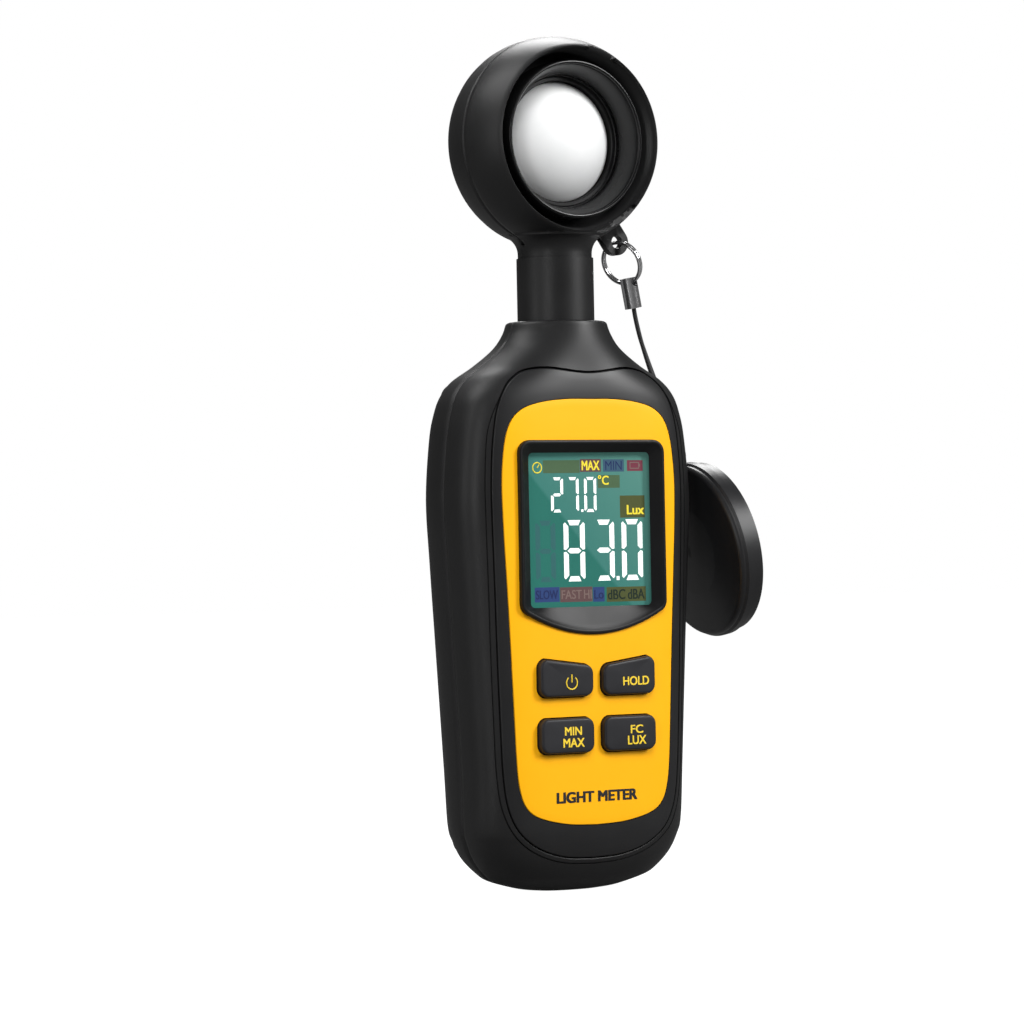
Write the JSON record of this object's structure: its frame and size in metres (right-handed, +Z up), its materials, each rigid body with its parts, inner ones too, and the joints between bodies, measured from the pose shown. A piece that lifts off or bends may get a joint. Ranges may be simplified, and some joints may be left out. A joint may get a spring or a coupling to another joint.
{
  "type": "light meter",
  "caption": "Handheld light meter with a display, press keys, a swivelling round sensor head with a white dome diffuser, and a sensor cap on a lanyard.",
  "frame": {"origin": "on the floor plane under the middle of the bounding box of the casing and head", "axes": "+Z up along the casing towards the sensor head, +Y towards the back, +X to the right seen from the front"},
  "size_m": [0.0702, 0.037, 0.1745],
  "materials": {
    "casing_black": "fine texture, matt",
    "panel_satin": "satin",
    "label_yellow": "smooth, low gloss",
    "surround_black": "satin",
    "window_clear": "polished",
    "lcd_teal": "polished",
    "frame_white": "moulded",
    "backlight_white": "polished",
    "strip_pink": "matt",
    "board_green": "solder mask",
    "chip_black": "moulded",
    "switch_steel": "stamped",
    "bead_brown": "dipped",
    "screw_steel": "bright",
    "screw_black": "blackened",
    "key_grey": "satin",
    "cell_sleeve": "printed sleeve",
    "contact_nickel": "nickel plated",
    "insert_brass": "turned",
    "bush_nylon": "natural nylon",
    "spring_steel": "spring steel",
    "lead_black": "insulated",
    "diffuser_white": "frosted",
    "filter_green": "polished",
    "can_gold": "gold plated",
    "ring_chrome": "polished",
    "cord_black": "braided",
    "cap_black": "satin"
  },
  "bodies": {
    "casing": {"front_shell": "casing_black", "rear_shell": "casing_black", "face_panel": "panel_satin", "face_label": "label_yellow", "display_surround": "surround_black", "display_window": "window_clear", "lcd_glass": "lcd_teal", "lcd_frame": "frame_white", "backlight": "backlight_white", "contact_strips": "strip_pink", "main_board": "board_green", "board_chips": "chip_black", "key_switches": "switch_steel", "buzzer": "chip_black", "temperature_bead": "bead_brown", "board_screws": "screw_steel", "battery_tray": "casing_black", "battery_cells": "cell_sleeve", "battery_plates": "contact_nickel", "battery_springs": "contact_nickel", "tripod_insert": "insert_brass", "case_screws": "screw_black", "swivel_bush": "bush_nylon", "swivel_seat": "bush_nylon", "wave_washer": "spring_steel", "lower_lead": "lead_black"},
    "head": {"neck_tube": "casing_black", "retaining_clip": "spring_steel", "head_front_shell": "casing_black", "head_rear_shell": "casing_black", "sensor_collar": "surround_black", "diffuser_ring": "surround_black", "diffuser_dome": "diffuser_white", "optical_filter": "filter_green", "photodiode": "can_gold", "sensor_board": "board_green", "head_screws": "screw_steel", "sensor_lead": "lead_black"},
    "lanyard": {"split_ring": "ring_chrome", "ferrule": "ring_chrome", "lanyard_cord": "cord_black", "sensor_cap": "cap_black"},
    "door": {"battery_door": "casing_black"},
    "power_key": {"power_key": "key_grey"},
    "hold_key": {"hold_key": "key_grey"},
    "min_max_key": {"min_max_key": "key_grey"},
    "unit_key": {"unit_key": "key_grey"}
  },
  "joints": [
    {"name": "head_swivel", "type": "hinge", "parent": "casing", "child": "head", "pos_m": [0, -0.00165, 0.116], "axis": [0, 0, 1], "range_deg": [-135, 135]},
    {"name": "lanyard_swing", "type": "hinge", "parent": "head", "child": "lanyard", "pos_m": [0.01441, -0.0022, 0.13273], "axis": [0, -1, 0], "range_deg": [0, 65]},
    {"name": "door_lift", "type": "slide", "parent": "casing", "child": "door", "axis": [0, 1, 0], "range_m": [0, 0.01]},
    {"name": "power_key_press", "type": "slide", "parent": "casing", "child": "power_key", "axis": [0, 1, 0], "range_m": [0, 0.0008], "stiffness_N_per_m": 600, "springref_m": -0.0006},
    {"name": "hold_key_press", "type": "slide", "parent": "casing", "child": "hold_key", "axis": [0, 1, 0], "range_m": [0, 0.0008], "stiffness_N_per_m": 600, "springref_m": -0.0006},
    {"name": "min_max_key_press", "type": "slide", "parent": "casing", "child": "min_max_key", "axis": [0, 1, 0], "range_m": [0, 0.0008], "stiffness_N_per_m": 600, "springref_m": -0.0006},
    {"name": "unit_key_press", "type": "slide", "parent": "casing", "child": "unit_key", "axis": [0, 1, 0], "range_m": [0, 0.0008], "stiffness_N_per_m": 600, "springref_m": -0.0006}
  ]
}
